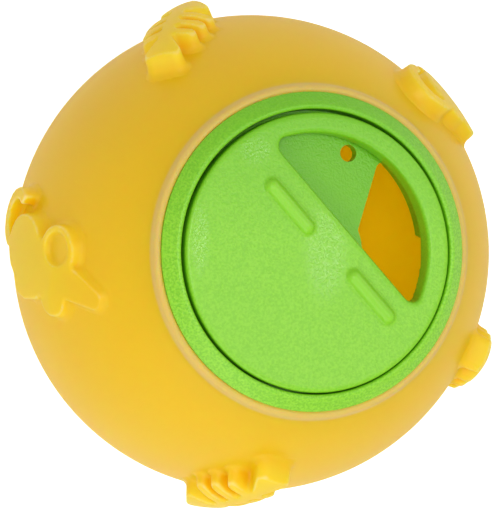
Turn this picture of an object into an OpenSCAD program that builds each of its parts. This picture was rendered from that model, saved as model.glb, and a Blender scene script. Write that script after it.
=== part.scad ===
// Treat dispensing ball: a soft hollow ball with raised fish skeletons and mice on
// it, and a round two-piece dispenser in its mouth. Turning the dial brings its
// window over the opening in the fixed floor behind it. Millimetres. The middle of
// the ball is the origin, and +Z runs out through the middle of the dial.

/* [Ball] */
// Diameter of the ball without its figures
ball_d = 80; // [76:1:110]
// Thickness of the soft wall
wall = 3; // [2.6:0.1:3.4]
// Width of the raised lip round the mouth
lip_w = 1.3; // [0.8:0.1:2]
// Height of that lip over the ball
lip_h = 0.35; // [0.1:0.05:0.6]

/* [Fish] */
// Height of a fish skeleton over the ball
fish_h = 3.5; // [2:0.1:4.5]
// Length of a fish skeleton from its tail fin to its snout
fish_l = 24; // [22:0.5:28]
// Length of the tail fin
fin_l = 4.6; // [3.5:0.1:5.4]
// Width of the tail fin at its end
fin_w = 7.4; // [5.6:0.1:8.6]
// Width of the backbone
spine_w = 2.2; // [1.4:0.1:3]
// Width of one rib
rib_w = 1.7; // [1.2:0.1:2]
// Distance from one rib to the next
rib_pitch = 3.2; // [2.8:0.05:3.5]
// Reach of the longest rib from the middle of the backbone
rib_reach = 5.7; // [4.5:0.1:6.5]
// Width of the head
head_w = 9.2; // [7:0.1:11]
// Rounding of the head's corners
head_round = 1.3; // [0.8:0.1:1.8]
// Radius of its rounded back, from side to side
back_r = 9; // [8:0.5:14]

/* [Mouse] */
// Height of a mouse over the ball
mouse_h = 2.5; // [1.6:0.1:4]
// Radius of its haunch
haunch_r = 5.3; // [4.6:0.1:6]
// Distance from the middle of the haunch to the tip of the snout
snout_reach = 18.3; // [17:0.1:20]
// Half the width of the tip of the snout
snout_r = 1.2; // [0.9:0.1:1.6]
// How much lower the figure is at the tip of the snout
snout_drop = 1.5; // [0.5:0.1:1.5]
// Radius of the ear
ear_r = 3.6; // [3:0.1:4.2]
// Width of the rim round the dish in the ear
ear_rim_w = 0.9; // [0.6:0.1:1.4]
// Depth of the dish in the ear
ear_dish_h = 1; // [0.4:0.1:1.4]
// Radius of the front paw
paw_r = 2.4; // [1.6:0.1:2.8]
// Width of the tail
tail_w = 1.7; // [1.2:0.1:2.2]
// Radius of the loop that the tail makes
tail_bend_r = 4; // [3.6:0.1:4.6]

/* [Insert] */
// Diameter over the insert's sloping ring
ring_d = 48.5; // [47.6:0.1:52]
// Thickness of that ring at its rim
ring_h = 1.4; // [1:0.1:1.6]
// Rounding of the ring's inner edge
ring_edge_r = 0.5; // [0.2:0.05:0.8]
// Wall of the pocket that the dial turns in
pocket_wall = 1.3; // [0.9:0.1:1.6]
// Thickness of the fixed floor
floor_h = 1.8; // [1.4:0.1:2.2]
// How far the bead behind the ball's lip stands out
bead_w = 0.8; // [0.4:0.1:1.2]
// Height of that bead
bead_h = 1; // [0.7:0.1:1.4]
// Distance from the pocket's outside to the short wall under the floor
skirt_inset = 2.85; // [2.4:0.05:3.6]
// Thickness of that short wall
skirt_wall = 1.5; // [1:0.1:1.8]
// How far it hangs below the floor
skirt_h = 2.9; // [1.5:0.1:5]
// Width of the gap in it beside the opening
notch_w = 16; // [8:0.5:18]
// Distance from the middle to the straight edge of the opening
floor_chord = 6.2; // [5.6:0.1:7]
// Radius of the opening's corners
floor_corner_r = 1.2; // [0.8:0.1:2]
// Radius of the hub that stands into the opening
hub_r = 8.25; // [7.2:0.05:9]
// Radius of the collar under the hub
collar_r = 4.8; // [4.2:0.1:6]
// Height of that collar
collar_h = 0.8; // [0.4:0.1:1.4]
// Diameter of the click holes in the floor
click_d = 2; // [1.4:0.1:2.4]
// Distance of the middle of the click holes from the pocket's wall
click_inset = 5.25; // [4.8:0.05:5.8]
// Angle from the middle of the opening to the first click hole
click_start = 86; // [82:0.5:94]
// Angle from one click hole to the next
click_step = 60; // [50:2.5:62.5]

/* [Dial] */
// Diameter of the dial
dial_d = 42.4; // [41.8:0.1:43]
// Gap all round the dial's rim
dial_gap = 0.35; // [0.25:0.05:0.45]
// How far the dial's face lies under the ring's inner edge
face_drop = 0.3; // [0:0.05:0.6]
// Height of the dial's rim
dial_h = 3.4; // [3:0.1:3.8]
// Thickness of the dial's face
face_h = 2; // [1.6:0.1:2.2]
// Gap between the dial's underside and the floor
run_gap = 0.2; // [0.15:0.05:0.3]
// Thickness of the walls under the dial's face
rim_w = 1.3; // [0.9:0.1:1.6]
// Rounding of the dial's outer edge and of its window
edge_r = 0.7; // [0.3:0.05:0.9]
// Distance from the middle to the straight edge of the window
window_chord = 5.6; // [5:0.1:6.4]
// Distance from the window to the dial's rim
window_margin = 2.3; // [2:0.1:3]
// Radius of the window's corners
window_corner_r = 1.6; // [1:0.1:2.4]
// Width of a grip rib
grip_w = 2.5; // [1.8:0.1:3]
// Height of a grip rib
grip_h = 1.1; // [0.6:0.1:1.2]
// Length of a grip rib
grip_l = 11.3; // [6:0.1:12]
// Distance between the two grip ribs
grip_space = 8; // [5:0.1:10]
// Distance of the grip ribs from the middle, towards the window
grip_offset = 0.7; // [0:0.1:1.5]
// Radius of the boss round the stem
boss_r = 5; // [4.4:0.1:5.6]
// Diameter of the stem that the dial turns on
stem_d = 6; // [5.4:0.1:7]
// Clearance round the stem
stem_gap = 0.05; // [0.03:0.01:0.08]
// Radius of the hollow up the stem's end
hollow_r = 1.4; // [0.8:0.1:1.8]
// How far the barbs stand out under the hub
barb_w = 0.55; // [0.3:0.05:0.8]
// Length of the barbs
barb_h = 2.2; // [1.6:0.1:3]
// Width of the slots that split the stem
slot_w = 1.2; // [0.6:0.1:1.6]

/* [Setting] */
// How far the dial is turned from fully open
dial_turn = 60; // [0:5:180]
// Direction of the middle of the floor's opening
opening_angle = -17.5; // [-180:0.5:180]

/* [Hidden] */
$fn = 96;

cut = 1;
seat_gap = 0.1;

ball_r = ball_d / 2;
inner_r = ball_r - wall;
dial_r = dial_d / 2;
pocket_r = dial_r + dial_gap;
tube_r = pocket_r + pocket_wall;
mouth_r = tube_r + seat_gap;
ring_r = ring_d / 2;
skirt_r = tube_r - skirt_inset - skirt_wall;
click_r = pocket_r - click_inset;
window_r = dial_r - window_margin;
stem_r = stem_d / 2;

// Height on a sphere at some distance from its axis
function height_at(sphere_r, r) = sqrt(sphere_r * sphere_r - r * r);

// The ring continues the ball's own curve, so these heights hang from it
ring_top_z = height_at(ball_r, ring_r);
ring_under_z = ring_top_z - ring_h;
face_z = height_at(ball_r, pocket_r) - face_drop;
skin_z = face_z - face_h;
dial_under_z = face_z - dial_h;
floor_z = dial_under_z - run_gap;
floor_under_z = floor_z - floor_h;
skirt_end_z = floor_under_z - skirt_h;
collar_end_z = floor_under_z - collar_h;
barb_top_z = collar_end_z - run_gap;
barb_end_z = barb_top_z - barb_h;

// Behind the mouth the ball's wall is cut flat, for the insert's bead to catch
lip_under_z = height_at(inner_r, ring_r);
bead_end_z = lip_under_z - bead_h;
tube_end_z = min(bead_end_z, floor_under_z);

// Each figure's direction round the ball, its angle down from the dial's axis, and
// how far it is turned from pointing at the mouth
FISH_PLACES = [[114.9, 71.8, 36.6], [258.4, 71.2, 17], [333.6, 76, -2]];
MOUSE_PLACES = [[181.8, 71.3, 28.7], [41.3, 68.2, 196.3]];

function flat(p) = [p[0], p[1]];
function unit(v) = v / norm(v);

// The points of an outline whose corners, each [x, y, radius], are rounded
function rounded(corners, steps = 4) = [
    for (i = [0:len(corners) - 1])
        let (n = len(corners), p = flat(corners[i]), r = corners[i][2],
             back = unit(flat(corners[(i + n - 1) % n]) - p), ahead = unit(flat(corners[(i + 1) % n]) - p),
             half = acos(back * ahead) / 2, turn = 180 - 2 * half,
             centre = p + unit(back + ahead) * r / sin(half),
             from = unit(p + back * r / tan(half) - centre), to = unit(p + ahead * r / tan(half) - centre))
            for (k = [0:steps])
                centre + r * (from * sin((1 - k / steps) * turn) + to * sin(k / steps * turn)) / sin(turn)];

// The other half of a list of corners, mirrored across Y and in the opposite order
function mirrored(corners) =
    [for (i = [len(corners) - 1:-1:0]) [-corners[i][0], corners[i][1], corners[i][2]]];

// Fish skeleton along Y, with its tail fin towards +Y
RIB_SHARES = [0.77, 0.92, 1];
fin_round_share = 0.15;
rib_round_share = 0.45;
rib_sweep_share = 0.05;
first_rib_share = 0.52;
head_share = 0.77;
back_share = 0.7;

module fish_outline() {
    n = len(RIB_SHARES);
    side_x = spine_w / 2;
    end_y = fish_l / 2;
    rib_y = end_y - fin_l - first_rib_share * rib_pitch;
    head_y = rib_y - (n - 1 + head_share) * rib_pitch;
    rib_r = rib_round_share * rib_w;
    root_r = (rib_pitch - rib_w) / 3;
    half = concat(
        [[0, -end_y, head_round],
         [head_w / 2, head_y - back_share * (head_w / 2 - side_x), head_round],
         [side_x, head_y, root_r]],
        [for (i = [n - 1:-1:0])
            let (reach = RIB_SHARES[i] * rib_reach, y = rib_y - i * rib_pitch,
                 sweep = rib_sweep_share * reach)
                each [[side_x, y - rib_w / 2, root_r], [reach, y - rib_w / 2 - sweep, rib_r],
                      [reach, y + rib_w / 2 - sweep, rib_r], [side_x, y + rib_w / 2, root_r]]],
        [[side_x, end_y - fin_l, side_x],
         [fin_w / 2, end_y, fin_round_share * fin_w]]);
    polygon(rounded(concat(half, [for (i = [0:len(half) - 2]) mirrored(half)[i]])));
}

// Mouse from its side along Y, with its snout towards +Y and its paws towards +X.
// The middle of its haunch is the origin, and its places and the radii of its
// corners are shares of the haunch's radius.
NECK_SHARES = [[-0.75, 0.47, 0.2], [0.87, 0.38, 0.2], [0.9, 1.8, 0.2], [0.45, 2.32, 0.15]];
BROW_SHARES = [[-0.49, 2.45, 0.5], [-0.68, 1.3, 0.1]];
FOOT_SHARES = [[0.57, -0.6, 0.15], [1.43, 0.11, 0.2], [1.4, 0.57, 0.15], [0.98, 1.32, 0.2],
               [0.47, 1.13, 0.1]];
EAR_SHARES = [-0.79, 1.57];
PAW_SHARES = [0.77, 1.87];
TAIL_SHARES = [-0.45, -1.06];
TAIL_ANGLES = [-200, 10];
nose_round_share = 0.8;
middle_share = 0.75;

function arc(r, from, to, steps = 16) =
    [for (i = [0:steps]) r * [cos(from + (to - from) * i / steps), sin(from + (to - from) * i / steps)]];

module mouse_outline() {
    nose_r = nose_round_share * snout_r;
    nose = [[snout_r, snout_reach, nose_r], [-snout_r, snout_reach, nose_r]];
    circle(r = haunch_r);
    translate(haunch_r * EAR_SHARES) circle(r = ear_r);
    translate(haunch_r * PAW_SHARES) circle(r = paw_r);
    polygon(rounded(concat(haunch_r * NECK_SHARES, nose, haunch_r * BROW_SHARES)));
    polygon(rounded(haunch_r * FOOT_SHARES));
    translate(haunch_r * TAIL_SHARES)
        polygon(concat(arc(tail_bend_r + tail_w / 2, TAIL_ANGLES[0], TAIL_ANGLES[1]),
                       arc(tail_bend_r - tail_w / 2, TAIL_ANGLES[1], TAIL_ANGLES[0])));
}

// Puts something drawn beside the Z axis at a figure's place
module at_place(place) {
    rotate([0, place[1], place[0]]) rotate([0, 0, 90 - place[2]]) children();
}

// Fish skeleton, its back bent round the ball and rounded from side to side
module fish() {
    intersection() {
        translate([0, 0, inner_r - wall]) linear_extrude(height = fish_h + 2 * wall) fish_outline();
        rotate([0, 90, 0]) rotate_extrude() translate([ball_r + fish_h - back_r, 0]) circle(r = back_r);
    }
}

slope_share = 0.35;

module mouse() {
    middle_y = middle_share * haunch_r;
    tip_y = snout_reach - middle_y;
    slope_y = slope_share * tip_y;
    top_r = ball_r + mouse_h;
    slope_z = height_at(top_r, slope_y);
    slope = atan2(slope_z - height_at(top_r, tip_y) + snout_drop, tip_y - slope_y);
    ear = haunch_r * EAR_SHARES - [0, middle_y];
    difference() {
        intersection() {
            translate([0, -middle_y, inner_r - wall])
                linear_extrude(height = mouse_h + 2 * wall) mouse_outline();
            sphere(r = top_r);
        }
        translate([-snout_reach / 2, slope_y, slope_z]) rotate([-slope, 0, 0]) cube(snout_reach);
        translate([ear[0], ear[1], height_at(top_r, norm(ear)) - ear_dish_h])
            cylinder(r = ear_r - ear_rim_w, h = 2 * mouse_h);
    }
}

module ball_shell() color("gold") {
    $fn = 48;
    lip_r = lip_w / 2;
    lip_angle = asin((ring_r + seat_gap + lip_r) / ball_r);
    difference() {
        union() {
            sphere(r = ball_r);
            rotate_extrude() translate((ball_r + lip_h - lip_r) * [sin(lip_angle), cos(lip_angle)])
                circle(r = lip_r);
            for (p = FISH_PLACES) at_place(p) fish();
            for (p = MOUSE_PLACES) at_place(p) mouse();
        }
        difference() {
            sphere(r = inner_r);
            translate([0, 0, lip_under_z]) cylinder(r = ball_r, h = ball_r);
        }
        cylinder(r = mouth_r, h = ball_r);
        translate([0, 0, ring_under_z]) cylinder(r = ring_r + seat_gap, h = ball_r);
    }
}

// The corners to take off a round opening with one straight side, before it is
// rounded there
module corner_waste(x, y) {
    for (m = [0, 1]) mirror([0, m]) polygon([[x, y], 2 * [x, y], [0, 2 * y], [0, y]]);
}

// Round opening with one straight side and rounded corners, its middle towards +X
module d_outline(chord, r, corner) {
    x = chord + corner;
    y = height_at(r - corner, x);
    difference() {
        intersection() {
            circle(r = r);
            translate([chord, -r]) square([r, 2 * r]);
        }
        corner_waste(x, y);
    }
    for (s = [-1, 1]) translate([x, s * y]) circle(r = corner);
}

// Points round the window, all of them a distance outside its edge. They run along
// the arc, round one corner, down the straight side and round the other corner.
function window_ring(z, spread, arc_steps = 28, corner_steps = 6) =
    let (x = window_chord + window_corner_r, y = height_at(window_r - window_corner_r, x),
         end = atan2(y, x), r = window_r + spread, corner_r = window_corner_r + spread)
        concat([for (i = [0:arc_steps])
                    let (a = end * (2 * i / arc_steps - 1)) [r * cos(a), r * sin(a), z]],
               [for (s = [1, -1], i = [0:corner_steps])
                    let (t = s > 0 ? i / corner_steps : 1 - i / corner_steps, a = end + t * (180 - end))
                        if (s > 0 ? i > 0 : i < corner_steps)
                            [x + corner_r * cos(a), s * (y + corner_r * sin(a)), z]]);

// The window's hole, which widens round its top edge
module window_hole(steps = 6) {
    rings = concat([window_ring(dial_under_z - cut, 0)],
                   [for (i = [0:steps])
                       let (a = 90 * i / steps)
                           window_ring(face_z - edge_r * (1 - sin(a)), edge_r * (1 - cos(a)))],
                   [window_ring(face_z + grip_h + cut, edge_r)]);
    n = len(rings[0]);
    last = len(rings) - 1;
    polyhedron(points = [for (ring = rings) each ring],
               faces = concat([[for (i = [0:n - 1]) i]],
                              [for (k = [0:last - 1], i = [0:n - 1])
                                  let (low = k * n, high = low + n, j = (i + 1) % n)
                                      [low + i, high + i, high + j, low + j]],
                              [[for (i = [n - 1:-1:0]) last * n + i]]));
}

module insert_profile() {
    edge_x = pocket_r + ring_edge_r;
    edge_z = height_at(ball_r - ring_edge_r, edge_x);
    bore_r = stem_r + stem_gap;
    difference() {
        union() {
            intersection() {
                circle(r = ball_r);
                translate([pocket_r, ring_under_z]) square([ring_r - pocket_r, ball_r]);
            }
            translate([pocket_r, tube_end_z]) square([pocket_wall, ring_under_z - tube_end_z]);
            polygon([[pocket_r, bead_end_z], [tube_r, bead_end_z],
                     [tube_r + bead_w, lip_under_z - bead_h / 3], [tube_r + bead_w, lip_under_z],
                     [pocket_r, lip_under_z]]);
        }
        polygon([[edge_x, edge_z], 2 * [edge_x, edge_z], [0, 2 * edge_z], [0, edge_z]]);
    }
    translate([edge_x, edge_z]) circle(r = ring_edge_r);
    translate([bore_r, floor_under_z]) square([tube_r - bore_r, floor_h]);
    translate([bore_r, collar_end_z]) square([collar_r - bore_r, collar_h]);
    translate([skirt_r, skirt_end_z]) square([skirt_wall, skirt_h]);
}

module dispenser_insert() color("yellowgreen") rotate([0, 0, opening_angle]) difference() {
    rotate_extrude() insert_profile();
    translate([0, 0, skirt_end_z - cut]) linear_extrude(height = skirt_h + floor_h + 2 * cut) {
        difference() {
            d_outline(floor_chord, skirt_r, floor_corner_r);
            circle(r = hub_r);
        }
        intersection() {
            circle(r = skirt_r + skirt_wall);
            translate([(hub_r + skirt_r) / 2, -notch_w / 2]) square([skirt_r, notch_w]);
        }
    }
    for (i = [0:3]) rotate([0, 0, click_start + i * click_step])
        translate([click_r, 0, floor_under_z - cut]) cylinder(d = click_d, h = floor_h + 2 * cut);
}

module dial_profile() {
    barb_r = stem_r + barb_w;
    translate([0, skin_z]) square([dial_r - edge_r, face_h]);
    translate([0, skin_z]) square([dial_r, face_h - edge_r]);
    translate([dial_r - edge_r, face_z - edge_r]) circle(r = edge_r);
    translate([dial_r - rim_w, dial_under_z]) square([rim_w, dial_h - face_h]);
    translate([0, dial_under_z]) square([boss_r, dial_h - face_h]);
    translate([0, barb_end_z]) square([stem_r, dial_under_z - barb_end_z]);
    polygon([[0, barb_end_z], [stem_r - barb_w, barb_end_z], [barb_r, barb_top_z - barb_h / 4],
             [barb_r, barb_top_z], [0, barb_top_z]]);
}

// Round bar with domed ends along +Z, from its lower dome's middle to its upper one's
module domed_bar(r, h) {
    rotate_extrude() intersection() {
        union() {
            circle(r = r);
            square([r, h]);
            translate([0, h]) circle(r = r);
        }
        translate([0, -r]) square([r, h + 2 * r]);
    }
}

// A rounded rib to turn the dial by, from the middle outwards along +Y
module grip() {
    r = grip_w / 2;
    translate([grip_offset, grip_space / 2 + r, face_z + grip_h - r])
        rotate([-90, 0, 0]) domed_bar(r, grip_l - grip_w);
}

module dial() color("yellowgreen") rotate([0, 0, opening_angle + dial_turn]) {
    pip_r = (click_d - 2 * run_gap) / 2;
    split_h = floor_under_z - barb_end_z;
    difference() {
        union() {
            rotate_extrude() dial_profile();
            translate([0, 0, dial_under_z]) linear_extrude(height = dial_h - edge_r - cut / 2)
                d_outline(window_chord - rim_w, window_r + rim_w, window_corner_r + rim_w);
            rotate([0, 0, click_start]) translate([click_r, 0, floor_z + run_gap / 2 + pip_r])
                domed_bar(pip_r, skin_z - floor_z - pip_r);
            grip();
            mirror([0, 1, 0]) grip();
        }
        window_hole();
        translate([0, 0, barb_end_z - cut]) cylinder(r = hollow_r, h = split_h + cut);
        for (a = [0, 90]) rotate([0, 0, a])
            translate([-boss_r, -slot_w / 2, barb_end_z - cut]) cube([2 * boss_r, slot_w, split_h + cut]);
    }
}

ball_shell();
dispenser_insert();
dial();
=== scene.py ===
"""Looks of a treat dispensing ball: a soft yellow ball with raised fish skeletons and mice,
and a green moulded dispenser with a turning dial in its mouth."""
import math

import bpy
import numpy as np
from mathutils import Matrix, Vector


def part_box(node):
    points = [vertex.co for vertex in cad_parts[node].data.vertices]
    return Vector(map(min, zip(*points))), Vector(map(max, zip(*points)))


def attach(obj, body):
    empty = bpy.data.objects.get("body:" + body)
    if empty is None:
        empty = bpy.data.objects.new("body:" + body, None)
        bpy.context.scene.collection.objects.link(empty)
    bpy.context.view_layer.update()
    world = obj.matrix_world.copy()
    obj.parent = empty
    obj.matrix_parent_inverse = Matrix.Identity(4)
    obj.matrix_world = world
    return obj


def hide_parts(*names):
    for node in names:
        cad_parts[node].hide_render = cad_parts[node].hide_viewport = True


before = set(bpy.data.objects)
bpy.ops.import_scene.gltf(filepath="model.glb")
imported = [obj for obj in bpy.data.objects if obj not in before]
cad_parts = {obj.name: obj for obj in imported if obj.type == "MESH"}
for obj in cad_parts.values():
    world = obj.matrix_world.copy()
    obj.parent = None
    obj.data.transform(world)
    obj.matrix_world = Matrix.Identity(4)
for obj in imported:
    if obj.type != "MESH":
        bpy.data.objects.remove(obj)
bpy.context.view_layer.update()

MM = 0.001

# Sizes read from the frame
ball_r = -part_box("ball_shell")[0].z
ring_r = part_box("dispenser_insert")[1].x
dial_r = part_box("dial")[1].x
dial_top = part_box("dial")[1].z

# Degrees from the X axis to the middle of the floor's opening, and from there to the window's
OPENING_ANGLE = -17.5
DIAL_TURN = 60

# Corners closer than this are one, in a copy and at a spun shape's seam
MERGE = 0.001 * MM
SEAM_MERGE = 0.01 * MM


def height_at(sphere_r, r):
    """Height on a sphere at some distance from its axis."""
    return math.sqrt(sphere_r * sphere_r - r * r)


def select_only(piece):
    """Selects one object and nothing else."""
    bpy.ops.object.select_all(action="DESELECT")
    piece.select_set(True)
    bpy.context.view_layer.objects.active = piece


def apply_modifier(piece, kind, **settings):
    """Puts one modifier on a piece and applies it."""
    select_only(piece)
    modifier = piece.modifiers.new(kind.title(), kind)
    for key, value in settings.items():
        setattr(modifier, key, value)
    bpy.ops.object.modifier_apply(modifier=modifier.name)


def points_of(piece):
    """The corners of a piece's mesh as one array."""
    points = np.empty(len(piece.data.vertices) * 3, np.float32)
    piece.data.vertices.foreach_get("co", points)
    return points.reshape(-1, 3).astype(float)


def normals_of(piece):
    """The normals at the corners of a piece's mesh as one array."""
    return np.array([vertex.normal for vertex in piece.data.vertices])


def set_points(piece, points):
    """Writes the corners of a piece's mesh."""
    piece.data.vertices.foreach_set("co", points.astype(np.float32).ravel())
    piece.data.update()


def copy_of(node, name):
    """A copy of a solid's mesh with its loose triangles merged."""
    piece = bpy.data.objects.new(name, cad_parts[node].data.copy())
    bpy.context.scene.collection.objects.link(piece)
    select_only(piece)
    bpy.ops.object.mode_set(mode="EDIT")
    bpy.ops.mesh.select_all(action="SELECT")
    bpy.ops.mesh.remove_doubles(threshold=MERGE)
    bpy.ops.mesh.customdata_custom_splitnormals_clear()
    bpy.ops.object.mode_set(mode="OBJECT")
    return piece


def spin_profile(name, profile, steps):
    """Spins a profile, a list of (distance from the axis, height), round the Z axis."""
    bpy.ops.object.select_all(action="DESELECT")
    bpy.ops.mesh.primitive_plane_add(size=1)
    piece = bpy.context.object
    piece.name = name
    piece.data.clear_geometry()
    edges = [(i, i + 1) for i in range(len(profile) - 1)]
    piece.data.from_pydata([(r, 0, z) for r, z in profile], edges, [])
    bpy.ops.object.mode_set(mode="EDIT")
    bpy.ops.mesh.select_all(action="SELECT")
    bpy.ops.mesh.spin(steps=steps, angle=math.tau, center=(0, 0, 0), axis=(0, 0, 1),
                      use_auto_merge=True)
    bpy.ops.mesh.select_all(action="SELECT")
    bpy.ops.mesh.remove_doubles(threshold=SEAM_MERGE)
    bpy.ops.mesh.normals_make_consistent(inside=False)
    bpy.ops.object.mode_set(mode="OBJECT")
    return piece


def arc(cx, cz, r, start, end, steps):
    """Points of an arc in a profile, angles in degrees up from the outward direction."""
    angles = [math.radians(start + (end - start) * i / steps) for i in range(steps + 1)]
    return [(cx + r * math.cos(a), cz + r * math.sin(a)) for a in angles]


# The ball's wall and mouth
WALL = 3 * MM
POCKET_WALL = 1.3 * MM
DIAL_GAP = 0.35 * MM
SEAT_GAP = 0.1 * MM
RING_H = 1.4 * MM
# The thin lip round the mouth is a bead. Its section starts and ends at these angles round
# the bead, and the ball's outside stops LIP_FOOT degrees before the bead's middle
LIP_W = 1.3 * MM
LIP_H = 0.35 * MM
LIP_START, LIP_END = 20, 170
LIP_FOOT = 1.25
# Steps round the axis, and along the wall's outside, its inside and the lip
TURN_STEPS, OUTER_STEPS, INNER_STEPS, LIP_STEPS = 216, 112, 36, 10
SMOOTH_UNDER = math.radians(40)


def shell_body():
    """The ball's wall with its mouth and the thin lip round it, as one turned shape."""
    mouth_r = dial_r + DIAL_GAP + POCKET_WALL + SEAT_GAP
    seat_r = ring_r + SEAT_GAP
    inner_r = ball_r - WALL
    seat_z = height_at(ball_r, ring_r) - RING_H
    under_z = height_at(inner_r, ring_r)
    bead_r = LIP_W / 2
    bead_away = ball_r + LIP_H - bead_r
    tilt = math.asin((seat_r + bead_r) / ball_r)
    outer = arc(0, 0, ball_r, -90, 90 - math.degrees(tilt) - LIP_FOOT, OUTER_STEPS)
    lip = arc(bead_away * math.sin(tilt), bead_away * math.cos(tilt), bead_r, LIP_START, LIP_END,
              LIP_STEPS)
    inner = arc(0, 0, inner_r, math.degrees(math.acos(ring_r / inner_r)), -90, INNER_STEPS)
    profile = outer + lip + [(seat_r, seat_z), (mouth_r, seat_z), (mouth_r, under_z)] + inner
    profile[0] = (0, -ball_r)
    profile[-1] = (0, -inner_r)
    return spin_profile("ball_skin", profile, TURN_STEPS)


# The raised figures lie under this height, and start this far over the ball's surface
FIGURE_ZONE_Z = 28 * MM
FIGURE_START = 0.05 * MM
FIGURE_FOOT_DEPTH = 0.8 * MM
FIGURE_VOXEL = 0.25 * MM
FILLET_R = 0.8 * MM
# Under DRAFT_TOP the walls lean out by this share of the height that is missing to it
DRAFT = 0.08
DRAFT_TOP = 3.5 * MM
EDGE_SMOOTHING = 3
MARK_SMOOTHING = 12
# The flatter mouse keeps this share of its relief near the tip of its snout, as far as
# SNOUT_NEAR, and all of it SNOUT_REACH further on
SNOUT = (-31.6 * MM, -8.3 * MM, 23 * MM)
SNOUT_SHARE = 0.75
SNOUT_NEAR = 8 * MM
SNOUT_REACH = 15 * MM


def figure_forms():
    """The solids' own raised forms, each closed a little under the ball's surface."""
    piece = copy_of("ball_shell", "raised_figures")
    bpy.ops.object.mode_set(mode="EDIT")
    bpy.ops.mesh.select_all(action="DESELECT")
    bpy.ops.object.mode_set(mode="OBJECT")
    for face in piece.data.polygons:
        centre = face.center
        face.select = centre.length < ball_r + FIGURE_START or centre.z > FIGURE_ZONE_Z
    bpy.ops.object.mode_set(mode="EDIT")
    bpy.ops.mesh.select_mode(type="FACE")
    bpy.ops.mesh.delete(type="FACE")
    bpy.ops.mesh.select_mode(type="VERT")
    bpy.ops.mesh.select_all(action="DESELECT")
    bpy.ops.mesh.select_non_manifold(extend=False, use_wire=False, use_boundary=True,
                                     use_multi_face=False, use_non_contiguous=False,
                                     use_verts=False)
    bpy.ops.mesh.extrude_region_move()
    shrink = 1 - FIGURE_FOOT_DEPTH / ball_r
    bpy.ops.transform.resize(value=(shrink,) * 3, center_override=(0, 0, 0))
    bpy.ops.mesh.fill_holes(sides=0)
    bpy.ops.object.mode_set(mode="OBJECT")
    return piece


def mark_edges(piece):
    """Keeps in an attribute how far each point stands out over its surroundings, in
    millimetres: more than nothing on the outer edges alone."""
    soft = piece.copy()
    soft.data = piece.data.copy()
    bpy.context.scene.collection.objects.link(soft)
    apply_modifier(soft, "SMOOTH", factor=0.5, iterations=MARK_SMOOTHING)
    bulge = np.sum((points_of(piece) - points_of(soft)) * normals_of(piece), axis=1) / MM
    bpy.data.objects.remove(soft)
    edge = piece.data.attributes.new("edge", "FLOAT", "POINT")
    edge.data.foreach_set("value", bulge.astype(np.float32))


def raised_figures():
    """The fish skeletons and mice with drafted walls, a fillet at the foot and soft edges."""
    piece = figure_forms()
    apply_modifier(piece, "REMESH", mode="VOXEL", voxel_size=FIGURE_VOXEL)
    points = points_of(piece)
    radius = np.linalg.norm(points, axis=1)
    up = points / radius[:, None]
    normals = normals_of(piece)
    side = normals - up * np.sum(normals * up, axis=1)[:, None]
    height = np.clip(radius - ball_r, 0, None)
    under = np.clip(FILLET_R ** 2 - (FILLET_R - height) ** 2, 0, None)
    fillet = np.where(height < FILLET_R, FILLET_R - np.sqrt(under), 0)
    spread = fillet + DRAFT * np.clip(DRAFT_TOP - height, 0, None)
    far = np.clip((np.linalg.norm(points - SNOUT, axis=1) - SNOUT_NEAR) / SNOUT_REACH, 0, 1)
    share = SNOUT_SHARE + (1 - SNOUT_SHARE) * far * far * (3 - 2 * far)
    set_points(piece, points + side * spread[:, None] - up * (height * (1 - share))[:, None])
    apply_modifier(piece, "REMESH", mode="VOXEL", voxel_size=FIGURE_VOXEL)
    apply_modifier(piece, "SMOOTH", factor=0.5, iterations=EDGE_SMOOTHING)
    mark_edges(piece)
    return piece


def ball_skin():
    """The whole soft ball in one skin."""
    body = shell_body()
    body.data.attributes.new("edge", "FLOAT", "POINT")
    figures = raised_figures()
    apply_modifier(body, "BOOLEAN", operation="UNION", solver="MANIFOLD", object=figures)
    bpy.data.objects.remove(figures)
    select_only(body)
    bpy.ops.object.shade_smooth_by_angle(angle=SMOOTH_UNDER)
    return body


# The dial's own X axis points at the middle of its window
DIAL_ANGLE = math.radians(OPENING_ANGLE + DIAL_TURN)
DIAL_VOXEL = 0.25 * MM
DIAL_SMOOTHING = 2
# How far the solid's ribs stand over the face
FACE_DROP = 1.1 * MM
# The window's straight edge and outer arc, and the roundness of its edge
WINDOW_CHORD = 5.6 * MM
WINDOW_R = dial_r - 2.3 * MM
WINDOW_EDGE_R = 0.7 * MM
# The arc goes further in by this much. Its points lie past these distances along the dial's
# own X axis and from its middle, and within CHORD_BAND of the straight edge they move less
WINDOW_INSET = 0.95 * MM
ARC_FROM_X = 4.5 * MM
ARC_FROM_R = 14 * MM
CHORD_BAND = 3 * MM
SLACK = 0.1 * MM
# The dial's rim lies a little to one side in its gap
RIM_W = 1.5 * MM
DIAL_PLAY = 0.16 * MM
# The grip ribs, with their middles in the dial's own directions
RIB_W = 2.4 * MM
RIB_H = 1.1 * MM
RIB_L = 10.4 * MM
RIB_MIDDLES = [(0.94 * MM, 8.2 * MM), (1.39 * MM, -10.6 * MM)]
# Decimals of a metre that tell a point on the rib's middle line, which stays where it is
MIDDLE_DIGITS = 6


def grip_rib(middle, face_z):
    """A rounded rib to turn the dial by: a ball whose two halves are pulled apart."""
    bpy.ops.object.select_all(action="DESELECT")
    bpy.ops.mesh.primitive_uv_sphere_add(segments=24, ring_count=16, radius=RIB_W / 2)
    piece = bpy.context.object
    points = points_of(piece)
    points[:, 1] += np.sign(np.round(points[:, 1], MIDDLE_DIGITS)) * (RIB_L - RIB_W) / 2
    points += (middle[0], middle[1], face_z + RIB_H - RIB_W / 2)
    turn = np.array([[math.cos(DIAL_ANGLE), math.sin(DIAL_ANGLE), 0],
                     [-math.sin(DIAL_ANGLE), math.cos(DIAL_ANGLE), 0], [0, 0, 1]])
    set_points(piece, points @ turn)
    return piece


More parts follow.
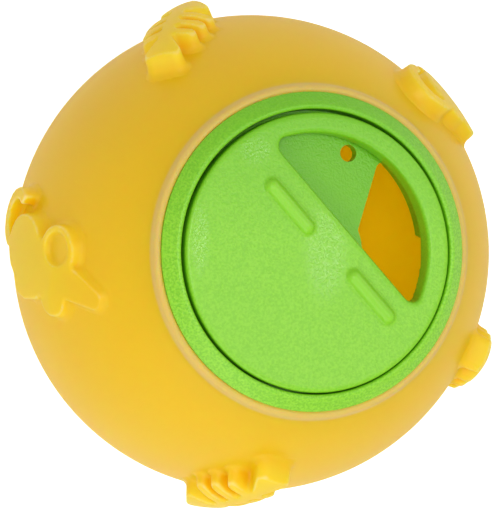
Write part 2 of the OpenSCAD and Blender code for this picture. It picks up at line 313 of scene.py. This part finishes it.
def dial_moulding():
    """The dial with full grip ribs, a wider band outside its window and softened edges."""
    piece = copy_of("dial", "dial_moulding")
    points = points_of(piece)
    face_z = dial_top - FACE_DROP
    points[:, 2] = np.minimum(points[:, 2], face_z)
    cos_a, sin_a = math.cos(DIAL_ANGLE), math.sin(DIAL_ANGLE)
    along = points[:, 0] * cos_a + points[:, 1] * sin_a
    across = -points[:, 0] * sin_a + points[:, 1] * cos_a
    radius = np.hypot(along, across)
    window = ((along > ARC_FROM_X) & (radius > ARC_FROM_R)
              & (radius < WINDOW_R + WINDOW_EDGE_R + SLACK))
    move = np.where(window, WINDOW_INSET, 0) / np.maximum(radius, MM)
    off_chord = np.clip((along - WINDOW_CHORD) / CHORD_BAND, 0, 1)
    along = along * (1 - move * off_chord)
    across = across * (1 - move)
    points[:, 0] = along * cos_a - across * sin_a
    points[:, 1] = along * sin_a + across * cos_a
    points[radius > dial_r - RIM_W] += (DIAL_PLAY, -DIAL_PLAY, 0)
    set_points(piece, points)
    ribs = [grip_rib(middle, face_z) for middle in RIB_MIDDLES]
    select_only(piece)
    for rib in ribs:
        rib.select_set(True)
    bpy.ops.object.join()
    apply_modifier(piece, "REMESH", mode="VOXEL", voxel_size=DIAL_VOXEL)
    apply_modifier(piece, "SMOOTH", factor=0.5, iterations=DIAL_SMOOTHING)
    select_only(piece)
    bpy.ops.object.shade_smooth()
    return piece


# The insert's click holes, with angles in degrees from the middle of the floor's opening
HOLES = 4
HOLE_RING_R = 16.3 * MM
HOLE_R = 1 * MM
CLICK_START = 86
CLICK_STEP = 60
HOLE_GROWTH = 1.33
# The short wall that hangs under the floor's opening, and the insert's tube outside it
FLOOR_UNDER_Z = 28 * MM
HANGING_R = 18.5 * MM
HANGING_TOP_Z = FLOOR_UNDER_Z - 0.5 * MM
HANGING_END_Z = FLOOR_UNDER_Z - 2.8 * MM
HANGING_THINNING = 0.45 * MM
HANGING_SHORTENING = 1.1 * MM
HANGING_SLACK = 0.2 * MM
TUBE_R = ring_r - 4 * MM
CREASE_OVER = math.radians(30)


def insert_moulding():
    """The fixed plug: its click holes opened a little and the short wall under its floor
    thinned and shortened."""
    piece = copy_of("dispenser_insert", "insert_moulding")
    points = points_of(piece)
    for i in range(HOLES):
        angle = math.radians(OPENING_ANGLE + CLICK_START + i * CLICK_STEP)
        middle = np.array([HOLE_RING_R * math.cos(angle), HOLE_RING_R * math.sin(angle)])
        offset = points[:, :2] - middle
        rim = np.hypot(offset[:, 0], offset[:, 1]) < HOLE_R + SLACK
        points[rim, :2] = middle + offset[rim] * HOLE_GROWTH
    radius = np.hypot(points[:, 0], points[:, 1])
    inside = (np.abs(radius - HANGING_R) < HANGING_SLACK) & (points[:, 2] < HANGING_TOP_Z)
    points[inside, :2] *= 1 + HANGING_THINNING / HANGING_R
    end = ((points[:, 2] < HANGING_END_Z) & (radius > HANGING_R - HANGING_SLACK)
           & (radius < TUBE_R))
    points[end, 2] += HANGING_SHORTENING
    set_points(piece, points)
    select_only(piece)
    bpy.ops.object.shade_smooth_by_angle(angle=CREASE_OVER)
    return piece


# Sockets that a Mix node uses for colours
MIX_UNDER, MIX_OVER, MIX_RESULT = 6, 7, 2


def linear(code):
    """An sRGB hex colour as linear red, green, blue and alpha."""
    parts = [int(code[i:i + 2], 16) / 255 for i in (1, 3, 5)]
    return tuple(p / 12.92 if p <= 0.04045 else ((p + 0.055) / 1.055) ** 2.4
                 for p in parts) + (1.0,)


def add(tree, kind, sockets=None, **settings):
    """Adds a node with its settings. Each of its sockets that is named gets a plain value, or
    a link from another node's output."""
    node = tree.nodes.new(kind)
    for key, value in settings.items():
        setattr(node, key, value)
    for key, value in (sockets or {}).items():
        if isinstance(value, bpy.types.NodeSocket):
            tree.links.new(value, node.inputs[key])
        else:
            node.inputs[key].default_value = value
    return node


def new_material(name):
    """An empty material and its output node."""
    material = bpy.data.materials.new(name)
    material.use_nodes = True
    material.node_tree.nodes.clear()
    return material, add(material.node_tree, "ShaderNodeOutputMaterial")


def paint_over(tree, tone, coats):
    """Lays coats of colour over a tone. Each coat has a value to follow, what that value is
    where the coat starts and where it is full, and a colour."""
    for value, start, full, colour in coats:
        mask = add(tree, "ShaderNodeMapRange",
                   {"Value": value, "From Min": start, "From Max": full},
                   interpolation_type="SMOOTHSTEP")
        mix = add(tree, "ShaderNodeMix",
                  {"Factor": mask.outputs["Result"], MIX_UNDER: tone, MIX_OVER: linear(colour)},
                  data_type="RGBA")
        tone = mix.outputs[MIX_RESULT]
    return tone


# Soft clouds of tone about 17 mm wide. The matt skin's grain is too fine to show, and is drawn
# 0.7 mm wide
CLOUDS_PER_MM = 0.06
SKIN_GRAINS_PER_MM = 1.4
SKIN_DEPTH = 0.05 * MM
# Painted orange crevice shade: it starts where the first share of what lies within reach is open,
# and is full at the second
VINYL_SHADE_REACH = 2.2 * MM
VINYL_SHADE_OPEN, VINYL_SHADE_SHUT = 0.9, 0.15
# Thin raised parts turn lemon yellow between these distances from the ball's middle
LEMON_START, LEMON_FULL = ball_r + 0.5 * MM, ball_r + 2.6 * MM
# Millimetres that a point stands out, where the painted highlight line on an edge starts and is
# full
EDGE_HIGHLIGHT_START, EDGE_HIGHLIGHT_FULL = 0.03, 0.1
# The lip's painted highlight fades in between these distances from the axis, and between these
# heights
LIP_OUTSIDE = ring_r + SEAT_GAP + LIP_W
LIP_FADE_R, LIP_FULL_R = LIP_OUTSIDE + 0.25 * MM, LIP_OUTSIDE - 0.1 * MM
MOUTH_START_Z, MOUTH_FULL_Z = 27 * MM, 28 * MM
# Share of the look that is light let through the wall
THROUGH_SHARE = 0.47


def lip_highlight_mask(tree, place):
    """1 on the thin lip round the mouth, where it is painted pale as a highlight, else 0."""
    flat = add(tree, "ShaderNodeVectorMath", {0: place, 1: (1, 1, 0)}, operation="MULTIPLY")
    away = add(tree, "ShaderNodeVectorMath", {0: flat.outputs["Vector"]}, operation="LENGTH")
    axes = add(tree, "ShaderNodeSeparateXYZ", {0: place})
    inside = add(tree, "ShaderNodeMapRange",
                 {"Value": away.outputs["Value"], "From Min": LIP_FADE_R, "From Max": LIP_FULL_R},
                 interpolation_type="SMOOTHSTEP")
    high = add(tree, "ShaderNodeMapRange",
               {"Value": axes.outputs["Z"], "From Min": MOUTH_START_Z, "From Max": MOUTH_FULL_Z},
               interpolation_type="SMOOTHSTEP")
    return add(tree, "ShaderNodeMath",
               {0: inside.outputs["Result"], 1: high.outputs["Result"]},
               operation="MULTIPLY").outputs["Value"]


def soft_vinyl():
    """Soft yellow vinyl, slush moulded: light goes some way into it and through it, so the inside
    glows orange.
    Its crevices are painted orange as shade, and its edges and the lip round the mouth are
    painted paler as highlights."""
    material, out = new_material("soft moulded vinyl")
    tree = material.node_tree
    place = add(tree, "ShaderNodeTexCoord").outputs["Object"]
    clouds = add(tree, "ShaderNodeTexNoise",
                 {"Vector": place, "Scale": CLOUDS_PER_MM / MM, "Detail": 3})
    tone = add(tree, "ShaderNodeMix",
               {"Factor": clouds.outputs["Fac"], MIX_UNDER: linear("#fbcc12"),
                MIX_OVER: linear("#ffd61e")}, data_type="RGBA").outputs[MIX_RESULT]
    height = add(tree, "ShaderNodeVectorMath", {0: place}, operation="LENGTH")
    crevice_shade_ao = add(tree, "ShaderNodeAmbientOcclusion", {"Distance": VINYL_SHADE_REACH}, samples=8)
    edge = add(tree, "ShaderNodeAttribute", attribute_name="edge")
    tone = paint_over(tree, tone, [
        (height.outputs["Value"], LEMON_START, LEMON_FULL, "#ffe030"),
        # Painted shade: crevices turn orange where the ambient occlusion finds them shut in
        (crevice_shade_ao.outputs["AO"], VINYL_SHADE_OPEN, VINYL_SHADE_SHUT, "#f6a000"),
        # Painted highlight: a pale line along the raised edges
        (edge.outputs["Fac"], EDGE_HIGHLIGHT_START, EDGE_HIGHLIGHT_FULL, "#fff0b4")])
    # Painted highlight: the lip round the mouth is painted pale
    tone = add(tree, "ShaderNodeMix",
               {"Factor": lip_highlight_mask(tree, place), MIX_UNDER: tone, MIX_OVER: linear("#f0cc7c")},
               data_type="RGBA").outputs[MIX_RESULT]
    grain = add(tree, "ShaderNodeTexNoise",
                {"Vector": place, "Scale": SKIN_GRAINS_PER_MM / MM, "Detail": 2})
    bump = add(tree, "ShaderNodeBump",
               {"Height": grain.outputs["Fac"], "Strength": 0.06, "Distance": SKIN_DEPTH})
    shader = add(tree, "ShaderNodeBsdfPrincipled",
                 {"Base Color": tone, "Normal": bump.outputs["Normal"],
                  "Roughness": 0.42, "IOR": 1.5, "Specular IOR Level": 0.35,
                  "Subsurface Weight": 1.0, "Subsurface Radius": (1.0, 0.5, 0.12),
                  "Subsurface Scale": 1.5 * MM})
    through = add(tree, "ShaderNodeBsdfTranslucent", {"Color": linear("#fff400")})
    mix = add(tree, "ShaderNodeMixShader",
              {0: THROUGH_SHARE, 1: shader.outputs["BSDF"], 2: through.outputs["BSDF"]})
    tree.links.new(mix.outputs[0], out.inputs["Surface"])
    return material


# The mould's real grain and pits are about 0.1 mm wide, too fine to show. They are drawn 0.36
# and 0.45 mm wide
GRAINS_PER_MM = 2.8
PITS_PER_MM = 2.2
# The grain turns from dark to light between these values of its pattern, and a pit's side
# turns from matt to glossy between these
GRAIN_DARK, GRAIN_LIGHT = 0.3, 0.7
PIT_SIDE, PIT_RIDGE = 0.15, 0.6
# Painted darker green crevice shade: it starts where the first share of what lies within reach is
# open, and is full at the second
GREEN_SHADE_REACH = 1.2 * MM
GREEN_SHADE_OPEN, GREEN_SHADE_SHUT = 0.85, 0.1
# Painted shade: the face is a darker green towards +Y, between these distances from the middle
SHADE_START_Y, SHADE_FULL_Y, SHADE_SHARE = 2 * MM, 26 * MM, 0.75
# Heights where the painted shade of the recessed floor, and the ribs' green, start and are full
RECESS_SHADE_START_Z, RECESS_SHADE_FULL_Z = dial_top - 3.5 * MM, dial_top - 5 * MM
RIB_START_Z, RIB_FULL_Z = dial_top - 0.95 * MM, dial_top - 0.5 * MM
# Where the mould is polished a little, so that the face shines: middles and half widths, mm
POLISHED = [((0.9, 0), (4.6, 9.5)), ((-10.1, 15.2), (3.2, 3.2)), ((-18.8, 1.8), (1.9, 7))]
POLISH_FULL = 0.6
GRAIN_ROUGHNESS, POLISHED_ROUGHNESS = 0.38, 0.2


def polish_mask(tree, place):
    """Soft patches, 1 in their middles, where the grain is worn smooth."""
    total = None
    for (x, y), (half_w, half_h) in POLISHED:
        spot = add(tree, "ShaderNodeMapping",
                   {"Vector": place, "Location": (-x / half_w, -y / half_h, 0),
                    "Scale": (1 / (half_w * MM), 1 / (half_h * MM), 0)})
        soft = add(tree, "ShaderNodeTexGradient", {"Vector": spot.outputs["Vector"]},
                   gradient_type="SPHERICAL").outputs["Fac"]
        if total is None:
            total = soft
        else:
            total = add(tree, "ShaderNodeMath", {0: total, 1: soft},
                        operation="MAXIMUM").outputs["Value"]
    return add(tree, "ShaderNodeMapRange",
               {"Value": total, "From Min": 0.0, "From Max": POLISH_FULL},
               interpolation_type="SMOOTHSTEP").outputs["Result"]


def glinting_roughness(tree, place):
    """Roughness of the grain, lower on the ridges between its pits in the polished patches."""
    pits = add(tree, "ShaderNodeTexVoronoi", {"Vector": place, "Scale": PITS_PER_MM / MM},
               feature="F1")
    ridges = add(tree, "ShaderNodeMapRange",
                 {"Value": pits.outputs["Distance"], "From Min": PIT_SIDE, "From Max": PIT_RIDGE},
                 interpolation_type="SMOOTHSTEP")
    glint = add(tree, "ShaderNodeMath",
                {0: polish_mask(tree, place), 1: ridges.outputs["Result"]},
                operation="MULTIPLY")
    return add(tree, "ShaderNodeMapRange",
               {"Value": glint.outputs["Value"], "To Min": GRAIN_ROUGHNESS,
                "To Max": POLISHED_ROUGHNESS}).outputs["Result"]


def green_plastic(name, dark, light, recess_shade, grain_depth, rib_tone=None):
    """Green polypropylene, injection moulded: its spark-eroded mould leaves a fine grain. It is
    painted darker as shade towards +Y, on its recessed floor and in crevices.
    With a tone for its ribs it is the dial's, which glints where its mould is polished."""
    material, out = new_material(name)
    tree = material.node_tree
    place = add(tree, "ShaderNodeTexCoord").outputs["Object"]
    axes = add(tree, "ShaderNodeSeparateXYZ", {0: place})
    grain = add(tree, "ShaderNodeTexNoise",
                {"Vector": place, "Scale": GRAINS_PER_MM / MM, "Detail": 2}).outputs["Fac"]
    tone = paint_over(tree, linear(dark), [(grain, GRAIN_DARK, GRAIN_LIGHT, light)])
    # Painted shade: darker towards +Y, where less light falls
    top_shade = add(tree, "ShaderNodeMapRange",
                 {"Value": axes.outputs["Y"], "From Min": SHADE_START_Y, "From Max": SHADE_FULL_Y,
                  "To Max": SHADE_SHARE})
    tone = add(tree, "ShaderNodeMix",
               {"Factor": top_shade.outputs["Result"], MIX_UNDER: tone,
                MIX_OVER: linear("#62ac0c")}, data_type="RGBA").outputs[MIX_RESULT]
    # Painted shade: the recessed floor is a darker green
    coats = [(axes.outputs["Z"], RECESS_SHADE_START_Z, RECESS_SHADE_FULL_Z, recess_shade)]
    if rib_tone:
        coats.append((axes.outputs["Z"], RIB_START_Z, RIB_FULL_Z, rib_tone))
    crevice_shade_ao = add(tree, "ShaderNodeAmbientOcclusion", {"Distance": GREEN_SHADE_REACH}, samples=8)
    # Painted shade: crevices and the feet of the ribs turn a darker green
    coats.append((crevice_shade_ao.outputs["AO"], GREEN_SHADE_OPEN, GREEN_SHADE_SHUT, "#58a80a"))
    bump = add(tree, "ShaderNodeBump",
               {"Height": grain, "Strength": 1.0, "Distance": grain_depth})
    shader = add(tree, "ShaderNodeBsdfPrincipled",
                 {"Base Color": paint_over(tree, tone, coats), "Normal": bump.outputs["Normal"],
                  "Roughness": 0.36, "IOR": 1.49, "Specular IOR Level": 0.4,
                  "Subsurface Weight": 0.35, "Subsurface Radius": (0.5, 1.0, 0.25),
                  "Subsurface Scale": 1.2 * MM})
    if rib_tone:
        tree.links.new(glinting_roughness(tree, place), shader.inputs["Roughness"])
    tree.links.new(shader.outputs["BSDF"], out.inputs["Surface"])
    return material


def dress(piece, material):
    """Gives a piece its one material."""
    piece.data.materials.clear()
    piece.data.materials.append(material)


# The camera looks down at the ball's mouth, turned a little off its axis
CAMERA_DISTANCE = 280 * MM
CAMERA_TURN = math.radians(-18.15)
CAMERA_LIFT = math.radians(-0.41)
LENS_MM = 118.75
NEAREST_SEEN = 10 * MM
# The picture's size and the place of the ball's middle in it, in pixels
IMAGE_W, IMAGE_H = 500, 511
BALL_X, BALL_Y = 251, 253
ROOM_STRENGTH = 0.5
# Square lamps: name, direction from the ball as the camera sees it (right, up, back), then
# distance and width in metres, and power in watts
LAMPS = [("key", (-0.15, -0.75, 0.65), 0.4, 0.3, 0.55),
         ("front", (0.0, 0.0, 1.0), 0.8, 0.15, 2.1),
         ("side", (0.85, 0.45, 0.3), 0.5, 0.12, 0.22),
         ("sheen", (0.6, -0.06, 0.8), 0.8, 0.2, 1.1)]
FLOOR_W = 4000 * MM


def camera_turn():
    """The camera's right, up and back directions as the columns of one matrix."""
    back = Vector((math.sin(CAMERA_TURN) * math.cos(CAMERA_LIFT), math.sin(CAMERA_LIFT),
                   math.cos(CAMERA_TURN) * math.cos(CAMERA_LIFT)))
    up = (Vector((0, 1, 0)) - back.y * back).normalized()
    return Matrix((up.cross(back), up, back)).transposed()


def make_camera():
    """Camera at the photograph's viewing angle."""
    turn = camera_turn()
    data = bpy.data.cameras.new("camera")
    data.sensor_fit = "HORIZONTAL"
    data.lens = LENS_MM
    data.shift_x = (IMAGE_W / 2 - BALL_X) / IMAGE_W
    data.shift_y = (BALL_Y - IMAGE_H / 2) / IMAGE_W
    data.clip_start = NEAREST_SEEN
    camera = bpy.data.objects.new("camera", data)
    place = Matrix.Translation(turn @ Vector((0, 0, CAMERA_DISTANCE)))
    camera.matrix_world = place @ turn.to_4x4()
    bpy.context.scene.collection.objects.link(camera)
    bpy.context.scene.camera = camera


def softbox(name, toward, distance, size, watts):
    """A square white lamp at a direction seen from the camera, aimed at the ball's middle."""
    data = bpy.data.lights.new(name, "AREA")
    data.size = size
    data.energy = watts
    lamp = bpy.data.objects.new(name, data)
    place = camera_turn() @ Vector(toward).normalized() * distance
    lamp.location = place
    lamp.rotation_mode = "QUATERNION"
    lamp.rotation_quaternion = place.to_track_quat("Z", "Y")
    bpy.context.scene.collection.objects.link(lamp)


def white_to_camera(tree):
    """1 for what the camera sees directly or in a reflection, else 0."""
    path = add(tree, "ShaderNodeLightPath")
    return add(tree, "ShaderNodeMath",
               {0: path.outputs["Is Camera Ray"], 1: path.outputs["Is Glossy Ray"]},
               operation="MAXIMUM").outputs["Value"]


def make_light():
    """Even studio light, white behind the ball for the camera and for reflections."""
    world = bpy.data.worlds.new("studio")
    bpy.context.scene.world = world
    world.use_nodes = True
    tree = world.node_tree
    tree.nodes.clear()
    seen = white_to_camera(tree)
    room = add(tree, "ShaderNodeBackground",
               {"Color": linear("#ffffff"), "Strength": ROOM_STRENGTH})
    white = add(tree, "ShaderNodeBackground", {"Color": linear("#ffffff"), "Strength": 1.0})
    mix = add(tree, "ShaderNodeMixShader", {0: seen, 1: room.outputs[0], 2: white.outputs[0]})
    out = add(tree, "ShaderNodeOutputWorld", {"Surface": mix.outputs[0]})
    out.is_active_output = True
    for lamp in LAMPS:
        softbox(*lamp)


def make_floor():
    """Pale floor under the ball, white to the camera but for the ball's soft shadow."""
    bpy.ops.object.select_all(action="DESELECT")
    bpy.ops.mesh.primitive_plane_add(size=FLOOR_W, location=(0, 0, 0))
    floor = bpy.context.object
    floor.name = "floor"
    for vertex in floor.data.vertices:
        vertex.co.z = -ball_r
    material, out = new_material("white paper")
    tree = material.node_tree
    matte = add(tree, "ShaderNodeBsdfDiffuse", {"Color": linear("#f6f6f6")})
    glow = add(tree, "ShaderNodeEmission",
               {"Strength": white_to_camera(tree), "Color": linear("#b4b4b4")})
    both = add(tree, "ShaderNodeAddShader", {0: matte.outputs[0], 1: glow.outputs[0]})
    tree.links.new(both.outputs[0], out.inputs["Surface"])
    dress(floor, material)


make_camera()
make_light()
make_floor()

vinyl = soft_vinyl()
# The third colour of each plastic is painted shade for its recessed floor
dial_plastic = green_plastic("dial polypropylene", "#78bc1a", "#86c826", "#70b416", 0.06 * MM,
                             rib_tone="#84c626")
insert_plastic = green_plastic("insert polypropylene", "#72b816", "#8ece2a", "#6ab210", 0.1 * MM)

skin = ball_skin()
dress(skin, vinyl)
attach(skin, "ball")
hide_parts("ball_shell")

insert = insert_moulding()
dress(insert, insert_plastic)
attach(insert, "ball")
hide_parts("dispenser_insert")

dial = dial_moulding()
dress(dial, dial_plastic)
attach(dial, "dial")
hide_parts("dial")

bpy.context.scene.view_settings.view_transform = "Standard"
